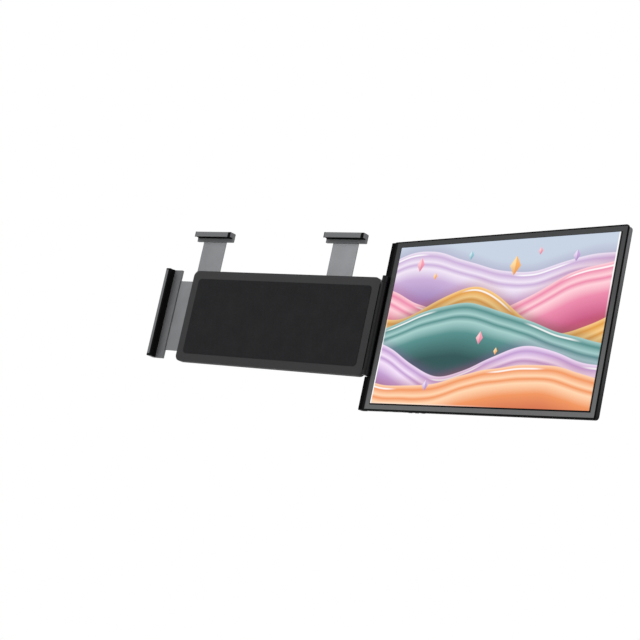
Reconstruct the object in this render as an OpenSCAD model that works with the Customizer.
// Laptop screen extender: a flat monitor on a vertical hinge, carried by a slim bracket that
// clips on the left and top edges of a laptop's lid. All sizes are in millimetres.
// X runs along the lid, Y points to its back and Z points up along it. The origin is the
// centre of the foam pad's face, which rests on the back of the lid.
// The monitor's pieces are drawn in its own frame: the hinge axis is the origin there, x runs
// along the screen and y through it, and in_monitor() puts them in place.

/* [Lid clips] */
// Width of the clips' grooves, a little more than the lid's thickness
mouth_d = 6.2; // [5.5:0.1:6.2]
// Depth of the grooves that the lid's edges rest in
groove_h = 1; // [0.6:0.1:1.4]
// Thickness of the clips in front of the groove
lip_t = 2; // [1.8:0.1:2]
// Height of a clip's bar
bar_h = 7.4; // [7:0.1:9]
// Radius of the bar's front corners and outer edge
bar_r = 2.8; // [1.5:0.1:3]
// Thickness of the silicone linings
lining_t = 0.6; // [0.5:0.1:0.8]
// Width of a top clip
clip_w = 62.5; // [50:0.5:64]
// Middle of the left top clip along the lid
clip_left_x = -119.2; // [-119.2:0.1:-112]
// Middle of the right top clip along the lid
clip_right_x = 101.3; // [100:0.1:106]
// Lower side of the left top clip's bar as it stands
clip_left_z = 107.6; // [106:0.1:110]
// Lower side of the right top clip's bar as it stands
clip_right_z = 109.4; // [106:0.1:110]
// Inner side of the left clip's bar as it stands
side_clip_x = -181.3; // [-184:0.1:-176]
// Height of the left clip
side_clip_h = 122; // [110:1:124]
// Height of the left clip's middle above the origin
side_clip_z = 1.6; // [0:0.1:2]

/* [Sliding arms] */
// Thickness of the sliding arms
arm_t = 1.5; // [1.2:0.1:1.5]
// Width of a top arm
top_arm_w = 40; // [36:1:40]
// Width of the left arm
side_arm_w = 96; // [80:1:96]
// Travel of a top arm into the bracket
top_in = 40; // [20:1:40]
// Travel of a top arm out of the bracket
top_out = 22; // [10:1:22]
// Travel of the left arm into the bracket
side_in = 24; // [10:1:24]
// Travel of the left arm out of the bracket
side_out = 40; // [20:1:40]

/* [Bracket] */
// Left edge of the bracket
bracket_left = -142; // [-142:1:-140]
// Right edge of the bracket's covers
bracket_right = 168; // [166:1:168]
// Height of the bracket
bracket_h = 124; // [122:1:130]
// Depth of the bracket from the foam pad's face to the back
bracket_d = 11; // [11:0.5:13]
// Corner radius of the bracket
bracket_r = 8; // [4:1:10]

/* [Kickstand] */
// Width of the kickstand
stand_w = 100; // [80:2:100]
// Height of the kickstand above its hinge
stand_h = 100; // [80:1:100]

/* [Hinge] */
// Place of the hinge axis along the lid
axis_x = 179.3; // [178:0.1:181]
// Place of the hinge axis from the lid's back, negative to the front
axis_y = -5; // [-5:0.1:-4.6]
// Angle of the monitor towards the viewer
monitor_yaw = 12.5; // [0:0.5:40]
// Radius of the end knuckles
knuckle_r = 4.1; // [3.9:0.1:4.1]
// Radius of the long barrel
barrel_r = 3.6; // [3.4:0.1:3.6]
// Height of the whole hinge
hinge_h = 124; // [110:1:124]

/* [Monitor] */
// Width of the display's lit area, 15.6 inch at 16:9
display_w = 344.2; // [340:0.1:345]
// Height of the display's lit area
display_h = 193.6; // [190:0.1:195]
// Height of the display's middle above the origin
display_z = 2; // [0:0.1:4]
// Bezel beside the hinge
bezel_left = 11.8; // [10:0.1:13]
// Bezel at the free side
bezel_right = 7.5; // [6:0.1:9]
// Bezel above the display
bezel_top = 7.6; // [6:0.1:9]
// Bezel below the display
bezel_bottom = 8.9; // [8:0.1:10]
// Thickness of the whole monitor
monitor_t = 9.5; // [9.5:0.1:10.5]
// Width of the rounded spine at the hinge side
spine_w = 9.2; // [7:0.1:9.2]

/* [Hidden] */
$fn = 48;
gap = 0.3;          // between pieces that slide past each other
eps = 0.01;         // lets a cut run clear of a face

// Layers of the bracket, from the lid backwards
pad_t = 0.5;
front_skin = 1;
wall = 1.8;
top_arm_y = pad_t + front_skin + gap;
divider_y = top_arm_y + arm_t + gap;
divider_t = 0.8;
side_arm_y = divider_y + divider_t + gap;
split_y = divider_y + divider_t / 2;
inner_back_y = side_arm_y + arm_t + gap;
rear_skin = 1.5;
bracket_w = bracket_right - bracket_left;
bracket_mid = (bracket_right + bracket_left) / 2;
bracket_edge = 2;

// Clips, each with a bar in front of the lid and a tail behind it
bar_y = -mouth_d - lip_t;
top_hook_back = top_arm_y + arm_t + 1.3;
top_tail_y = pad_t;
top_tail = 4.6;
top_foot_r = 0.5;   // radius of the bar's front edge beside the lid
top_pad_wall = 0.6; // wall of the bar round its lining
side_hook_back = inner_back_y + 1;
side_tail_y = 3.4;
side_tail = 13.3;
side_foot_r = 2;
side_pad_wall = -0.5;
guard_w = 2.6;      // width of the silicone guards on a bar's front corners
socket_h = 3.6;     // how far an arm reaches into its bar
side_socket_h = 5.2;
post_r = 3;
slot_r = post_r + gap;
top_arm_bottom = -16;
side_arm_end = -28;
side_post_x = side_arm_end - 6 - slot_r - side_out;
side_slot_z = 28;

// Kickstand
stand_y = inner_back_y + rear_skin + gap;
stand_t = 2.4;
stand_axis_y = stand_y + 0.8;
stand_axis_z = -54;
stand_barrel_r = 1.9;
stand_pin_r = 1;
stand_side = stand_w / 2 + gap;
stand_lug = 5.7;

// Hinge
barrel_h = hinge_h - 16.6;
leaf_y = 9.2;
leaf_t = 1.2;
leaf_w = 48;
hinge_pin_r = 1.6;
bush_r = 2.4;
bush_h = 25;

// Layers of the monitor, from its front backwards
front_y = 4;
bezel_t = 2.5;
bezel_lip = 0.7;
panel_t = 1.4;
diffuser_t = 0.3;
guide_t = 2;
tray_t = 0.5;
shell_wall = 1.6;
shell_skin = 1.5;
shell_inset = 0.6;
shell_edge = 1.8;
panel_y = front_y + bezel_lip;
diffuser_y = panel_y + panel_t;
guide_y = diffuser_y + diffuser_t;
tray_y = guide_y + guide_t;
shell_y = front_y + bezel_t;
back_y = front_y + monitor_t;
inner_y = back_y - shell_skin;
body_x0 = 1;
display_x0 = body_x0 + bezel_left;
display_x1 = display_x0 + display_w;
body_x1 = display_x1 + bezel_right;
display_z0 = display_z - display_h / 2;
display_z1 = display_z + display_h / 2;
body_z0 = display_z0 - bezel_bottom;
body_z1 = display_z1 + bezel_top;
panel_margin = 2.2;
shell_z0 = body_z0 + shell_inset;
shell_z1 = body_z1 - shell_inset;
shell_x1 = body_x1 - shell_inset;
notch_h = hinge_h + 0.8;

// Electronics along the monitor's lower edge
board_y = 9.6;
board_t = 1;
board_z0 = shell_z0 + 4.3;
port_y = tray_y + tray_t + 0.05;
port_h = 3;
data_x = [28.5, 45];
data_w = 9;
video_x = 62.5;
video_w = 10.8;
port_depth = 7;
button_x = [80, 91, 102];
button_w = 6;
button_t = 2;
button_y = 10.4;
speaker_x = [142, 334];

// ---------------------------------------------------------------- shared shapes

// A flat outline in X and Z, given its thickness from y0 to y1
module slab(y0, y1) {
    translate([0, y1, 0])
        rotate([90, 0, 0])
            linear_extrude(y1 - y0)
                children();
}

// A profile in Y and Z, drawn out along X and centred
module bar_x(w) {
    rotate([90, 0, 90])
        linear_extrude(w, center = true)
            children();
}

// A rectangle with round corners, centred
module round_rect(w, h, r) {
    square([w - 2 * r, h], center = true);
    square([w, h - 2 * r], center = true);
    for (x = [-1, 1], y = [-1, 1])
        translate([x * (w / 2 - r), y * (h / 2 - r)])
            circle(r);
}

// A slab with round corners whose back edge is rounded too, blended over a few layers
module soft_slab(w, h, y0, y1, r, edge) {
    steps = 4;
    hull()
        for (i = [0:steps]) {
            a = 90 * i / steps;
            inset = edge * (1 - cos(a));
            slab(y0, y1 - edge * (1 - sin(a)))
                round_rect(w - 2 * inset, h - 2 * inset, r - inset, $fn = 32);
        }
}

// A round bar or bore along Y, from y0 to y1
module pin_y(r, y0, y1) {
    translate([0, y1, 0])
        rotate([90, 0, 0])
            cylinder(r = r, h = y1 - y0);
}

// A screw along Y whose head stands at the back
module screw_y(head_r, head_h, shank_r, tip_y, seat_y) {
    difference() {
        union() {
            pin_y(head_r, seat_y, seat_y + head_h);
            pin_y(shank_r, tip_y, seat_y + eps);
        }
        // cross recess
        for (a = [0, 90])
            translate([0, seat_y + head_h, 0])
                rotate([0, a, 0])
                    cube([head_r * 1.2, head_h, 0.5], center = true);
    }
}

// A slot with round ends between two heights
module slot_z(r, z0, z1) {
    translate([-r, z0 + r])
        square([2 * r, z1 - z0 - 2 * r]);
    for (z = [z0 + r, z1 - r])
        translate([0, z])
            circle(r);
}

module in_monitor() {
    translate([axis_x, axis_y, 0])
        rotate(-monitor_yaw)
            children();
}

// Places of the screws, as [x, z]
function cover_spots() = concat(
    [for (x = [-88, -14, 66, 140]) [x, 55]],
    [for (x = [-88, -66, 66, 140]) [x, -56]]);
function arm_spots() = [for (x = [70, 134, 158], z = [-38, 38]) [x, z]];
function leaf_spots() = [for (x = [14, 38], z = [-44, 0, 44]) [x, z]];
function shell_spots() = [for (x = [60, 210, 350], z = [-80, 92]) [x, z]];

function side_screw_spots() = [for (z = [-36, -12, 12, 36]) [side_clip_x + 7, z]];
function hook_screw_spots(clip) = [for (x = [-12, 12]) [clip[0] + x, clip[1] - 0.5]];

// The two top clips, as [middle, lower side of the bar], with their arms' lower ends and the
// posts in the front cover that stop them
left_clip = [clip_left_x, clip_left_z];
right_clip = [clip_right_x, clip_right_z];
function arm_bottom(clip) = top_arm_bottom + clip[1] - clip_left_z;
function post_z(clip) = arm_bottom(clip) + 6 + slot_r + top_out;

// ---------------------------------------------------------------- bracket

module bracket_outline(inset = 0) {
    translate([bracket_mid, 0])
        round_rect(bracket_w - 2 * inset, bracket_h - 2 * inset, bracket_r - inset);
}

module lid_pad() {
    color("#1c1c1e")
        slab(0, pad_t)
            translate([bracket_mid, 0])
                round_rect(bracket_w - 22, bracket_h - 22, 5);
}

module front_cover() {
    rib = 1.6;
    mouth = 10.8;
    color("#3a3b3d")
        difference() {
            union() {
                slab(pad_t, top_arm_y - gap)
                    bracket_outline();
                slab(top_arm_y - gap, split_y)
                    difference() {
                        bracket_outline();
                        bracket_outline(wall);
                    }
                // channel walls and stop post of each top arm
                for (clip = [left_clip, right_clip]) {
                    for (side = [-1, 1])
                        slab(top_arm_y - gap, divider_y)
                            translate([clip[0] + side * (top_arm_w / 2 + gap + rib / 2), 0])
                                square([rib, bracket_h - 30], center = true);
                    translate([clip[0], 0, post_z(clip)])
                        pin_y(post_r, top_arm_y - gap, divider_y);
                }
                // cross ribs that stiffen the open middle
                for (x = [-66, -14, 38])
                    slab(top_arm_y - gap, divider_y)
                        translate([x, 0])
                            square([rib, bracket_h - 34], center = true);
                for (p = cover_spots())
                    translate([p[0], 0, p[1]])
                        pin_y(2.6, top_arm_y - gap, divider_y + divider_t);
                for (p = arm_spots())
                    translate([p[0], 0, p[1]])
                        pin_y(3, top_arm_y - gap, divider_y);
            }
            // mouths of the two channels
            for (clip = [left_clip, right_clip])
                slab(top_arm_y - gap, split_y + eps)
                    translate([clip[0], bracket_h / 2])
                        square([top_arm_w + 3 * gap, mouth], center = true);
            for (p = concat(cover_spots(), arm_spots()))
                translate([p[0], 0, p[1]])
                    pin_y(1, top_arm_y - gap, divider_y + divider_t + eps);
        }
}

module divider_plate() {
    color("#9a9ca0")
        difference() {
            slab(divider_y, divider_y + divider_t)
                bracket_outline(wall + gap);
            for (p = cover_spots())
                translate([p[0], 0, p[1]])
                    pin_y(2.9, divider_y - eps, divider_y + divider_t + eps);
            for (p = arm_spots())
                translate([p[0], 0, p[1]])
                    pin_y(1.3, divider_y - eps, divider_y + divider_t + eps);
        }
}

// Space that the folded kickstand and its swing need, as a profile in Y and Z
module stand_space() {
    polygon([
        [stand_y - gap, stand_axis_z + stand_h + 1.3],
        [stand_y - gap, stand_axis_z],
        [stand_axis_y, stand_axis_z - 2.3],
        [bracket_d + 1, stand_axis_z - 4.3],
        [bracket_d + 1, stand_axis_z + stand_h + 1.3]
    ]);
    translate([stand_axis_y, stand_axis_z])
        circle(stand_barrel_r + 0.4);
}

module rear_cover() {
    rib = 1.4;
    head_seat = inner_back_y + rear_skin;
    color("#333436")
        difference() {
            union() {
                // shell: rounded outside, hollow inside
                difference() {
                    translate([bracket_mid, 0, 0])
                        soft_slab(bracket_w, bracket_h, split_y, bracket_d, bracket_r,
                            bracket_edge);
                    slab(split_y - eps, bracket_d - rear_skin)
                        bracket_outline(wall);
                }
                // tub of the kickstand's recess
                translate([0, 0, -3.5])
                    slab(inner_back_y, bracket_d - eps)
                        square([stand_w + 6, bracket_h - 10], center = true);
                // solid bar and lugs that carry the kickstand's axle
                translate([0, (bracket_d + 5) / 2 - 0.5, stand_axis_z - 1.2])
                    cube([stand_w + 2 * stand_lug, bracket_d - 6, 11], center = true);
                // ribs that guide the left arm
                for (z = [-40, -14, 14, 40])
                    slab(inner_back_y, bracket_d - eps)
                        translate([(bracket_left - stand_w / 2) / 2, z])
                            square([-bracket_left - stand_w / 2 - 2, rib], center = true);
                // ribs over the hinge arm
                for (z = [-24, 0, 24])
                    slab(side_arm_y + arm_t - gap, bracket_d - eps)
                        translate([(bracket_right + stand_w / 2) / 2, z])
                            square([bracket_right - stand_w / 2 - 2, rib], center = true);
                for (z = [-1, 1])
                    translate([side_post_x, 0, z * side_slot_z])
                        pin_y(post_r, side_arm_y - gap, bracket_d - eps);
                for (p = cover_spots())
                    translate([p[0], 0, p[1]])
                        pin_y(3.6, divider_y + divider_t, bracket_d - eps);
            }
            bar_x(2 * stand_side)
                stand_space();
            rotate([0, 90, 0])
                translate([-stand_axis_z, stand_axis_y, 0])
                    cylinder(r = stand_pin_r, h = stand_w + 8, center = true);
            // thumb dip at the kickstand's free end
            translate([0, bracket_d + 4, stand_axis_z + stand_h + 2])
                sphere(6.5);
            // mouth of the left arm
            slab(side_arm_y - gap, inner_back_y)
                translate([bracket_left, 0])
                    square([4 * wall, side_arm_w + 2 * gap], center = true);
            // way out of the hinge arm
            slab(side_arm_y - gap, side_arm_y + arm_t - gap)
                translate([bracket_right, 0])
                    square([4 * wall, barrel_h - 6.6], center = true);
            for (p = cover_spots())
                translate([p[0], 0, p[1]]) {
                    pin_y(1.2, split_y - eps, bracket_d);
                    pin_y(2.2, head_seat, bracket_d + eps);
                }
        }
}

module cover_screws() {
    color("#55575b")
        for (p = cover_spots())
            translate([p[0], 0, p[1]])
                screw_y(1.9, 1.4, 1, top_arm_y, inner_back_y + rear_skin);
}

module arm_screws() {
    color("#55575b")
        for (p = arm_spots())
            translate([p[0], 0, p[1]])
                screw_y(2.2, 1.2, 1, top_arm_y, side_arm_y + arm_t - gap);
}

module glide_pads() {
    tape = 0.2;
    color("#e8e6df") {
        for (x = [clip_left_x, clip_right_x], side = [-1, 1])
            slab(divider_y - tape, divider_y)
                translate([x + side * 14, 36])
                    round_rect(10, 40, 2);
        for (z = [-1, 1])
            slab(divider_y + divider_t, divider_y + divider_t + tape)
                translate([-108, z * 42])
                    round_rect(52, 7, 2);
    }
}

// ---------------------------------------------------------------- sliding clips

// A hook stands on the lid's edge: x runs along the edge, y through the lid and z away from
// the lid. Its bar is the part above z = 0, and its tail goes down behind the lid.

// What a round corner takes off a sharp one at the origin, whose sides run along +x and +y
module corner_bite(r) {
    difference() {
        translate([-1, -1])
            square(r + 1);
        translate([r, r])
            circle(r);
    }
}

// Section of a hook across the edge, drawn in depth and height
module hook_section(back, tail_y, tail, foot_r) {
    back_r = 1.2;
    difference() {
        translate([bar_y, -tail])
            square([back - bar_y, bar_h + tail]);
        translate([bar_y - 1, -tail - 1])
            square([tail_y - bar_y + 1, tail + 1]);
        translate([bar_y, 0])
            corner_bite(foot_r);
        translate([bar_y, bar_h])
            mirror([0, 1])
                corner_bite(bar_r);
        translate([back, bar_h])
            rotate(180)
                corner_bite(back_r);
        translate([back, -tail])
            rotate(45)
                square(1.4, center = true);
    }
}

// Outline of a hook seen along its height, with both front corners round
module hook_outline(w, back, inset = 0) {
    front = bar_y + inset;
    side = w / 2 - inset;
    difference() {
        translate([-side, front])
            square([2 * side, back - front]);
        for (turn = [0, 1])
            mirror([turn, 0])
                translate([-side, front])
                    corner_bite(bar_r - inset);
    }
}

// Space of the silicone before its groove is cut: a pad under the bar, which takes in the bar's
// whole inner edge if no wall is left round it, and a guard on each front corner
module lining_space(w, tail_y, pad_wall) {
    linear_extrude(groove_h + lining_t)
        hook_outline(w, tail_y, pad_wall);
    for (side = [-1, 1])
        translate([side * w / 2, bar_y, bar_h / 2 + 0.5])
            cube([2 * guard_w, 2 * guard_w, bar_h + 1], center = true);
}

// Groove that the lid's edge rests in
module groove(w) {
    translate([0, -mouth_d / 2, 0])
        cube([w + 2, mouth_d, 2 * groove_h], center = true);
}

module hook_solid(w, back, tail_y, tail, foot_r) {
    intersection() {
        bar_x(w)
            hook_section(back, tail_y, tail, foot_r);
        translate([0, 0, -tail])
            linear_extrude(bar_h + tail)
                hook_outline(w, back);
    }
}

module hook_body(w, back, tail_y, tail, foot_r, pad_wall) {
    difference() {
        hook_solid(w, back, tail_y, tail, foot_r);
        lining_space(w, tail_y, pad_wall);
        groove(w);
    }
}

module lining(w, back, tail_y, tail, foot_r, pad_wall) {
    difference() {
        intersection() {
            hook_solid(w, back, tail_y, tail, foot_r);
            lining_space(w, tail_y, pad_wall);
        }
        groove(w);
    }
}

// Turns a hook from the lid's top edge to its left edge
module at_left_edge() {
    translate([side_clip_x, 0, side_clip_z])
        rotate([0, -90, 0])
            children();
}

// Hole and sunk seat of a screw that holds an arm in a hook
module hook_screw_hole(arm_y, back) {
    pin_y(1, arm_y + arm_t - eps, back + eps);
    pin_y(1.8, back - 0.7, back + 1);
}

module top_hook(clip) {
    difference() {
        translate([clip[0], 0, clip[1]])
            hook_body(clip_w, top_hook_back, top_tail_y, top_tail, top_foot_r, top_pad_wall);
        // socket of the arm
        slab(top_arm_y, top_arm_y + arm_t)
            translate([clip[0] - top_arm_w / 2, clip[1] - top_tail - 1])
                square([top_arm_w, top_tail + 1 + socket_h]);
        for (p = hook_screw_spots(clip))
            translate([p[0], 0, p[1]])
                hook_screw_hole(top_arm_y, top_hook_back);
    }
}

module top_arm(clip) {
    bottom = arm_bottom(clip);
    top = clip[1] + socket_h;
    difference() {
        slab(top_arm_y, top_arm_y + arm_t)
            difference() {
                translate([clip[0], (top + bottom) / 2])
                    round_rect(top_arm_w, top - bottom, 2);
                translate([clip[0], 0])
                    slot_z(slot_r, bottom + 6, post_z(clip) + top_in + slot_r + gap);
            }
        for (p = hook_screw_spots(clip))
            translate([p[0], 0, p[1]])
                pin_y(1, top_arm_y - eps, top_arm_y + arm_t + eps);
    }
}

module top_lining(clip) {
    translate([clip[0], 0, clip[1]])
        lining(clip_w, top_hook_back, top_tail_y, top_tail, top_foot_r, top_pad_wall);
}

module top_hook_screws(clip) {
    for (p = hook_screw_spots(clip))
        translate([p[0], 0, p[1]])
            screw_y(1.7, 0.6, 1, top_arm_y, top_hook_back - 0.7);
}

module left_hook() {
    color("#77797c")
        difference() {
            at_left_edge()
                hook_body(side_clip_h, side_hook_back, side_tail_y, side_tail, side_foot_r,
                    side_pad_wall);
            // socket of the arm
            slab(side_arm_y, side_arm_y + arm_t)
                translate([side_clip_x - side_socket_h, -side_arm_w / 2])
                    square([side_socket_h + side_tail + 1, side_arm_w]);
            for (p = side_screw_spots())
                translate([p[0], 0, p[1]])
                    hook_screw_hole(side_arm_y, side_hook_back);
        }
}

module left_arm() {
    end_x = side_clip_x - side_socket_h;
    color("#8b8d91")
        difference() {
            slab(side_arm_y, side_arm_y + arm_t)
                difference() {
                    translate([(end_x + side_arm_end) / 2, 0])
                        round_rect(side_arm_end - end_x, side_arm_w, 2);
                    for (z = [-1, 1])
                        translate([0, z * side_slot_z])
                            rotate(-90)
                                slot_z(slot_r, side_post_x - side_in - slot_r - gap,
                                    side_post_x + side_out + slot_r + gap);
                }
            for (p = side_screw_spots())
                translate([p[0], 0, p[1]])
                    pin_y(1, side_arm_y - eps, side_arm_y + arm_t + eps);
        }
}

module left_lining() {
    color("#161617")
        at_left_edge()
            lining(side_clip_h, side_hook_back, side_tail_y, side_tail, side_foot_r,
                side_pad_wall);
}

module left_hook_screws() {
    color("#55575b")
        for (p = side_screw_spots())
            translate([p[0], 0, p[1]])
                screw_y(1.7, 0.6, 1, side_arm_y, side_hook_back - 0.7);
}

module top_hook_left() {
    color("#808285")
        top_hook(left_clip);
}

module top_arm_left() {
    color("#8b8d91")
        top_arm(left_clip);
}

module top_lining_left() {
    color("#161617")
        top_lining(left_clip);
}

module top_hook_screws_left() {
    color("#55575b")
        top_hook_screws(left_clip);
}

module top_hook_right() {
    color("#808285")
        top_hook(right_clip);
}

module top_arm_right() {
    color("#8b8d91")
        top_arm(right_clip);
}

module top_lining_right() {
    color("#161617")
        top_lining(right_clip);
}

module top_hook_screws_right() {
    color("#55575b")
        top_hook_screws(right_clip);
}

// ---------------------------------------------------------------- kickstand

module stand_foot_outline() {
    for (x = [-1, 1])
        translate([x * 27, stand_axis_z + stand_h - 1.5])
            square([26, 3], center = true);
}

module stand_plate() {
    mid_z = stand_axis_z + stand_h / 2 + 2;
    color("#3d3e41")
        difference() {
            union() {
                slab(stand_y, stand_y + stand_t)
                    difference() {
                        translate([0, stand_axis_z + stand_h / 2])
                            round_rect(stand_w, stand_h, 6);
                        translate([0, stand_axis_z])
                            square([stand_w + 1, 16], center = true);
                        stand_foot_outline();
                        // finger notch
                        translate([0, stand_axis_z + stand_h + 3])
                            circle(10);
                    }
                slab(stand_y, stand_y + stand_t)
                    translate([-stand_w / 2, stand_axis_z])
                        square([stand_w, 9]);
                translate([0, stand_axis_y, stand_axis_z])
                    rotate([0, 90, 0])
                        cylinder(r = stand_barrel_r, h = stand_w, center = true);
            }
            translate([0, stand_axis_y, stand_axis_z])
                rotate([0, 90, 0])
                    cylinder(r = stand_pin_r + 0.06, h = stand_w + 2, center = true);
            // shallow panel pressed into the back face
            slab(stand_y + stand_t - 0.5, stand_y + stand_t + 1)
                translate([0, mid_z])
                    round_rect(stand_w - 22, stand_h - 36, 5);
        }
}

module stand_foot() {
    color("#161617")
        slab(stand_y, stand_y + stand_t)
            stand_foot_outline();
}

module stand_pin() {
    color("#b5b7ba")
        translate([0, stand_axis_y, stand_axis_z])
            rotate([0, 90, 0])
                cylinder(r = stand_pin_r, h = stand_w + 8, center = true);
}

// ---------------------------------------------------------------- hinge

module hinge_arm() {
    plate_left = 60;
    plate_h = 100;
    block = [6.2, 9.2];         // width and depth of the end block
    web_l = 7.6;
    lean = [0.607, -0.794];     // direction of the web, from the lid to the barrel
    left = [axis_x + lean[1] * barrel_r, axis_y - lean[0] * barrel_r];
    color("#1b1b1d")
        difference() {
            union() {
                // plate between the covers
                slab(side_arm_y - gap, side_arm_y + arm_t - gap)
                    translate([plate_left, -plate_h / 2])
                        square([bracket_right + 2 - plate_left, plate_h]);
                // end block that caps the bracket
                linear_extrude(barrel_h - 0.6, center = true) {
                    translate([bracket_right + gap + block[0] / 2, block[1] / 2 + 0.7])
                        round_rect(block[0], block[1], 1.4);
                    // web round the lid's edge to the barrel
                    polygon([
                        left,
                        left - web_l * lean,
                        [left[0] - web_l * lean[0], 2],
                        [bracket_right + 6.5, 2],
                        [bracket_right + 6.5, 0],
                        [axis_x - 0.6, axis_y + barrel_r - 0.2],
                        [axis_x, axis_y]
                    ]);
                }
                translate([axis_x, axis_y, 0])
                    cylinder(r = barrel_r, h = barrel_h, center = true);
            }
            for (z = [-1, 1])
                translate([axis_x, axis_y, z * (barrel_h - bush_h) / 2])
                    cylinder(r = bush_r, h = bush_h + 2 * eps, center = true);
            for (p = arm_spots())
                translate([p[0], 0, p[1]])
                    pin_y(1.2, side_arm_y - 1, side_arm_y + arm_t);
            // lightening holes in the plate
            for (x = [90, 112])
                slab(side_arm_y - 1, side_arm_y + arm_t)
                    translate([x, 0])
                        round_rect(14, 56, 4);
        }
}

module friction_bushes() {
    color("#b08d3c")
        for (z = [-1, 1])
            translate([axis_x, axis_y, z * (barrel_h - bush_h) / 2])
                difference() {
                    cylinder(r = bush_r, h = bush_h, center = true);
                    cylinder(r = hinge_pin_r + 0.05, h = bush_h + 2, center = true);
                }
}

module hinge_leaf() {
    knuckle_h = 8;
    tab_t = 2.6;
    color("#202022")
        in_monitor()
            difference() {
                union() {
                    for (z = [hinge_h / 2 - knuckle_h, -hinge_h / 2])
                        translate([0, 0, z]) {
                            cylinder(r = knuckle_r, h = knuckle_h);
                            translate([-3.6, 0, 0])
                                cube([tab_t, leaf_y + leaf_t, knuckle_h]);
                            translate([-3.6, leaf_y, 0])
                                cube([8, leaf_t, knuckle_h]);
                        }
                    slab(leaf_y, leaf_y + leaf_t)
                        translate([3, -hinge_h / 2])
                            square([leaf_w - 3, hinge_h]);
                }
                for (z = [-1, 1])
                    translate([0, 0, z * (hinge_h / 2 - knuckle_h)])
                        cylinder(r = hinge_pin_r, h = 2 * knuckle_h - 2, center = true);
                for (p = leaf_spots())
                    translate([p[0], 0, p[1]])
                        pin_y(1.2, leaf_y - 1, leaf_y + leaf_t + 1);
                // lightening windows
                for (z = [-1, 1])
                    slab(leaf_y - 1, leaf_y + leaf_t + 1)
                        translate([26, z * 22])
                            round_rect(14, 26, 3);
            }
}

module hinge_pins() {
    pin_top = hinge_h / 2 - 1;
    pin_low = barrel_h / 2 - bush_h + 2;
    color("#b5b7ba")
        in_monitor()
            for (side = [0, 1])
                mirror([0, 0, side])
                    translate([0, 0, pin_low])
                        cylinder(r = hinge_pin_r, h = pin_top - pin_low);
}

module leaf_screws() {
    color("#55575b")
        in_monitor()
            for (p = leaf_spots())
                translate([p[0], 0, p[1]])
                    mirror([0, 1, 0])
                        translate([0, -2 * leaf_y, 0])
                            pin_y(1, leaf_y - leaf_t - 1.6, leaf_y);
}

// ---------------------------------------------------------------- monitor casing

module body_rect(x0, x1, z0, z1, r) {
    translate([(x0 + x1) / 2, (z0 + z1) / 2])
        round_rect(x1 - x0, z1 - z0, r);
}

module bezel_frame() {
    seat = panel_margin + 0.2;
    color("#4b4c4f")
        in_monitor()
            difference() {
                slab(front_y, shell_y)
                    union() {
                        body_rect(body_x0, body_x1, body_z0, body_z1, 3);
                        translate([body_x0, body_z0])
                            square([10, body_z1 - body_z0]);
                    }
                slab(front_y - 1, shell_y + 1)
                    body_rect(display_x0, display_x1, display_z0, display_z1, 0.6);
                slab(panel_y, shell_y + 1)
                    body_rect(display_x0 - seat, display_x1 + seat, display_z0 - seat,
                        display_z1 + seat, 0.6);
            }
}

module display_panel() {
    color("#c49ab8")
        in_monitor()
            slab(panel_y, diffuser_y)
                body_rect(display_x0 - panel_margin, display_x1 + panel_margin,
                    display_z0 - panel_margin, display_z1 + panel_margin, 0.5);
}

module diffuser_sheet() {
    color("#f2f2ee")
        in_monitor()
            slab(diffuser_y, guide_y)
                body_rect(display_x0 - 1.6, display_x1 + 1.6, display_z0 - 1.6, display_z1 + 1.6,
                    0.5);
}

module light_guide() {
    color("#e4eef2")
        in_monitor()
            slab(guide_y, tray_y)
                body_rect(display_x0 - 1.6, display_x1 + 1.6, display_z0, display_z1 + 1.6, 0.5);
}

module led_strip() {
    lamp_step = 12;
    color("#f4e9b0")
        in_monitor() {
            translate([display_x0, guide_y + 0.1, display_z0 - 1.8])
                cube([display_w, guide_t - 0.2, 0.6]);
            for (i = [0:floor(display_w / lamp_step) - 1])
                translate([display_x0 + (i + 0.5) * lamp_step, guide_y + 0.4, display_z0 - 1.2])
                    cube([5, guide_t - 0.8, 0.9]);
        }
}

module panel_tray() {
    edge = panel_margin + 1;
    color("#a8aaad")
        in_monitor()
            difference() {
                slab(shell_y, tray_y + tray_t)
                    body_rect(display_x0 - edge, display_x1 + edge, display_z0 - edge,
                        display_z1 + edge, 1);
                slab(shell_y - 1, tray_y)
                    body_rect(display_x0 - edge + tray_t, display_x1 + edge - tray_t,
                        display_z0 - edge + tray_t, display_z1 + edge - tray_t, 0.5);
            }
}

// Outline of a port with round ends, centred
module port_outline(w, h) {
    round_rect(w, h, h / 2 - 0.1);
}

module port_places(grow) {
    for (x = data_x)
        translate([x, port_y + port_h / 2])
            port_outline(data_w + grow, port_h + grow);
    translate([video_x, port_y + port_h / 2])
        round_rect(video_w + grow, port_h + grow, 0.8);
}

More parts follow.
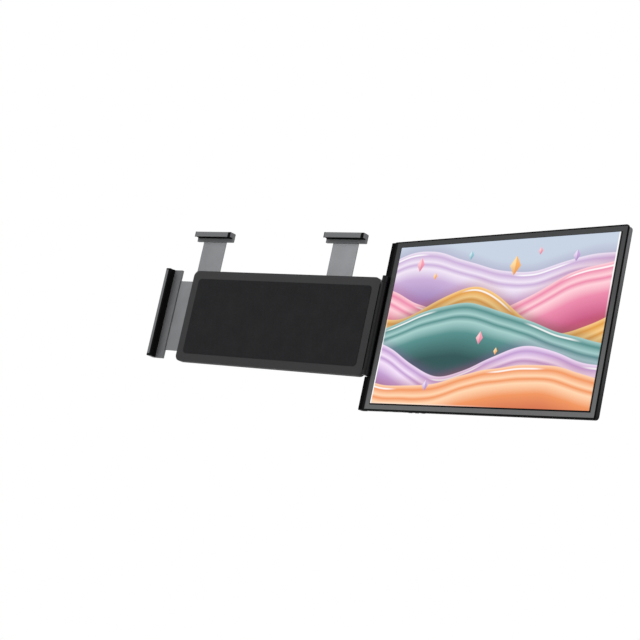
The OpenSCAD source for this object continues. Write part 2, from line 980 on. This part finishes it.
module rear_shell() {
    mid_x = (body_x0 + shell_x1) / 2;
    mid_z = (shell_z0 + shell_z1) / 2;
    w = shell_x1 - body_x0;
    h = shell_z1 - shell_z0;
    vent_step = 6;
    color("#5f6164")
        in_monitor()
            difference() {
                union() {
                    difference() {
                        union() {
                            translate([mid_x, 0, mid_z])
                                soft_slab(w, h, shell_y, back_y, 4, shell_edge);
                            // square left end that meets the spine
                            translate([body_x0, shell_y, shell_z0 + 1])
                                cube([8, monitor_t - bezel_t - shell_edge, h - 2]);
                            translate([body_x0, shell_y, shell_z0 + shell_edge])
                                cube([8, monitor_t - bezel_t, h - 2 * shell_edge]);
                        }
                        slab(shell_y - 1, inner_y)
                            body_rect(body_x0 + shell_wall, shell_x1 - shell_wall,
                                shell_z0 + shell_wall, shell_z1 - shell_wall, 3);
                    }
                    // bosses
                    for (p = leaf_spots())
                        translate([p[0], 0, p[1]])
                            pin_y(2.6, leaf_y + leaf_t, inner_y + eps);
                    for (p = shell_spots())
                        translate([p[0], 0, p[1]])
                            pin_y(2.8, tray_y + tray_t, inner_y + eps);
                    // ribs behind the tray
                    for (x = [126, 190, 254, 318])
                        slab(tray_y + tray_t + 0.6, inner_y + eps)
                            translate([x, display_z + 10])
                                square([1.2, 150], center = true);
                }
                for (p = leaf_spots())
                    translate([p[0], 0, p[1]])
                        pin_y(1, leaf_y + leaf_t - eps, inner_y);
                for (p = shell_spots())
                    translate([p[0], 0, p[1]]) {
                        pin_y(1.1, tray_y, back_y);
                        pin_y(2, back_y - 1.1, back_y + 1);
                    }
                // way in of the leaf
                translate([0, leaf_y - 0.2, -hinge_h / 2 - 0.2])
                    cube([body_x0 + shell_wall + eps, leaf_t + 0.4, hinge_h + 0.4]);
                // ports and buttons
                translate([0, 0, shell_z0 - 1])
                    linear_extrude(shell_wall + 2) {
                        port_places(0.2);
                        for (x = button_x)
                            translate([x, button_y])
                                square([button_w + 2 * gap, button_t + 2 * gap], center = true);
                    }
                // vents above the board
                slab(inner_y - 1, back_y + 1)
                    for (i = [0:11])
                        translate([44 + i * vent_step, -62])
                            round_rect(1.8, 12, 0.89);
                // speaker grilles
                slab(inner_y - 1, back_y + 1)
                    for (x = speaker_x, i = [-3:3])
                        translate([x + i * 3.2, -91])
                            round_rect(1.4, 7, 0.69);
            }
}

// Profile of the spine across the monitor, shrunk by inset
module spine_profile(inset) {
    r = 3;
    back = back_y - inset;
    front = front_y + 0.4 + inset;
    left = body_x0 - spine_w + inset;
    q = r - inset;
    for (y = [front + q, back - q])
        translate([left + q, y])
            circle(q);
    translate([left, front + q])
        square([body_x0 - left - inset, back - front - 2 * q]);
    translate([left + q, front])
        square([body_x0 - left - q - inset, back - front]);
}

module spine_cover() {
    h = shell_z1 - shell_z0;
    mid_z = (shell_z0 + shell_z1) / 2;
    end = 1.6;
    keep = body_x0 - 1.8;
    color("#1d1d1f")
        in_monitor()
            difference() {
                translate([0, 0, mid_z])
                    linear_extrude(h, center = true)
                        spine_profile(0);
                // hollow ends
                for (z = [[notch_h / 2 + end, shell_z1 - end], [shell_z0 + end, -notch_h / 2 - end]])
                    translate([0, 0, z[0]])
                        linear_extrude(z[1] - z[0])
                            spine_profile(1.4);
                // notch round the hinge
                translate([keep - 20, 0, -notch_h / 2])
                    cube([20, back_y + 1, notch_h]);
                // ways in of the leaf's tabs
                for (z = [-1, 1])
                    translate([keep, leaf_y + leaf_t / 2, z * (hinge_h / 2 - 4)])
                        cube([6, leaf_t + 0.2, 8.2], center = true);
            }
}

module shell_screws() {
    color("#55575b")
        in_monitor()
            for (p = shell_spots())
                translate([p[0], 0, p[1]])
                    screw_y(1.8, 1, 1, tray_y + tray_t, back_y - 1.1);
}

// ---------------------------------------------------------------- monitor electronics

module main_board() {
    x0 = 14;
    x1 = 116;
    z1 = -66;
    color("#1f6b3a")
        in_monitor() {
            difference() {
                translate([x0, board_y, board_z0])
                    cube([x1 - x0, board_t, z1 - board_z0]);
                for (x = data_x)
                    translate([x, board_y + 0.5, board_z0])
                        cube([data_w + 0.4, 2, 9], center = true);
                translate([video_x, board_y + 0.5, board_z0])
                    cube([video_w + 0.4, 2, 9], center = true);
                for (p = shell_spots())
                    translate([p[0], 0, p[1]])
                        pin_y(3.1, board_y - 1, board_y + 2);
            }
            // processor, memory, coils and sockets
            translate([0, board_y + board_t - eps, 0]) {
                translate([36, 0, -86])
                    cube([12, 1, 12]);
                translate([74, 0, -84])
                    cube([9, 1, 7]);
                translate([88, 0, -88])
                    cube([7, 1.2, 7]);
                translate([99, 0, -84])
                    cube([6, 1.2, 6]);
                translate([66, 0, -72])
                    cube([18, 0.9, 4]);
            }
        }
}

module data_ports() {
    color("#c7c9cc")
        in_monitor()
            for (x = data_x)
                translate([x, port_y + port_h / 2, shell_z0 + 0.2])
                    difference() {
                        linear_extrude(port_depth)
                            port_outline(data_w, port_h);
                        translate([0, 0, -eps])
                            linear_extrude(port_depth - 1)
                                difference() {
                                    port_outline(data_w - 0.6, port_h - 0.6);
                                    square([data_w - 2.4, 0.7], center = true);
                                }
                    }
}

module video_port() {
    color("#c7c9cc")
        in_monitor()
            translate([video_x, port_y + port_h / 2, shell_z0 + 0.2])
                difference() {
                    linear_extrude(port_depth)
                        round_rect(video_w, port_h, 0.7);
                    translate([0, 0, -eps])
                        linear_extrude(port_depth - 1)
                            difference() {
                                round_rect(video_w - 0.7, port_h - 0.7, 0.5);
                                square([video_w - 3, 0.7], center = true);
                            }
                }
}

module speakers() {
    color("#26272a")
        in_monitor()
            for (x = speaker_x)
                slab(tray_y + tray_t + 0.2, inner_y - 0.1)
                    translate([x, -91])
                        round_rect(30, 13, 3);
}

module panel_cable() {
    y = tray_y + tray_t;
    color("#c98a35")
        in_monitor() {
            translate([68, y, -68])
                cube([14, 0.3, 42]);
            translate([68, y, -69.5])
                cube([14, board_y - y, 3]);
        }
}

module tact_switches() {
    color("#88898c")
        in_monitor()
            for (x = button_x)
                translate([x - 2.25, board_y + board_t, board_z0 - 0.8])
                    cube([4.5, 1.3, 3]);
}

module button_body(x) {
    in_monitor() {
        slab(button_y - button_t / 2, button_y + button_t / 2) {
            translate([x, shell_z0 + 0.9])
                round_rect(button_w, 2.8, 0.5);
            translate([x, shell_z0 + 2.3])
                square([button_w + 2, 0.8], center = true);
        }
    }
}

module power_button() {
    color("#2a2a2c")
        button_body(button_x[0]);
}

module menu_up_button() {
    color("#2a2a2c")
        button_body(button_x[1]);
}

module menu_down_button() {
    color("#2a2a2c")
        button_body(button_x[2]);
}

lid_pad();
front_cover();
divider_plate();
rear_cover();
hinge_arm();
friction_bushes();
glide_pads();
cover_screws();
arm_screws();
stand_pin();
left_arm();
left_hook();
left_lining();
left_hook_screws();
top_arm_left();
top_hook_left();
top_lining_left();
top_hook_screws_left();
top_arm_right();
top_hook_right();
top_lining_right();
top_hook_screws_right();
stand_plate();
stand_foot();
bezel_frame();
display_panel();
diffuser_sheet();
light_guide();
led_strip();
panel_tray();
main_board();
data_ports();
video_port();
speakers();
panel_cable();
tact_switches();
rear_shell();
spine_cover();
hinge_leaf();
hinge_pins();
leaf_screws();
shell_screws();
power_button();
menu_up_button();
menu_down_button();
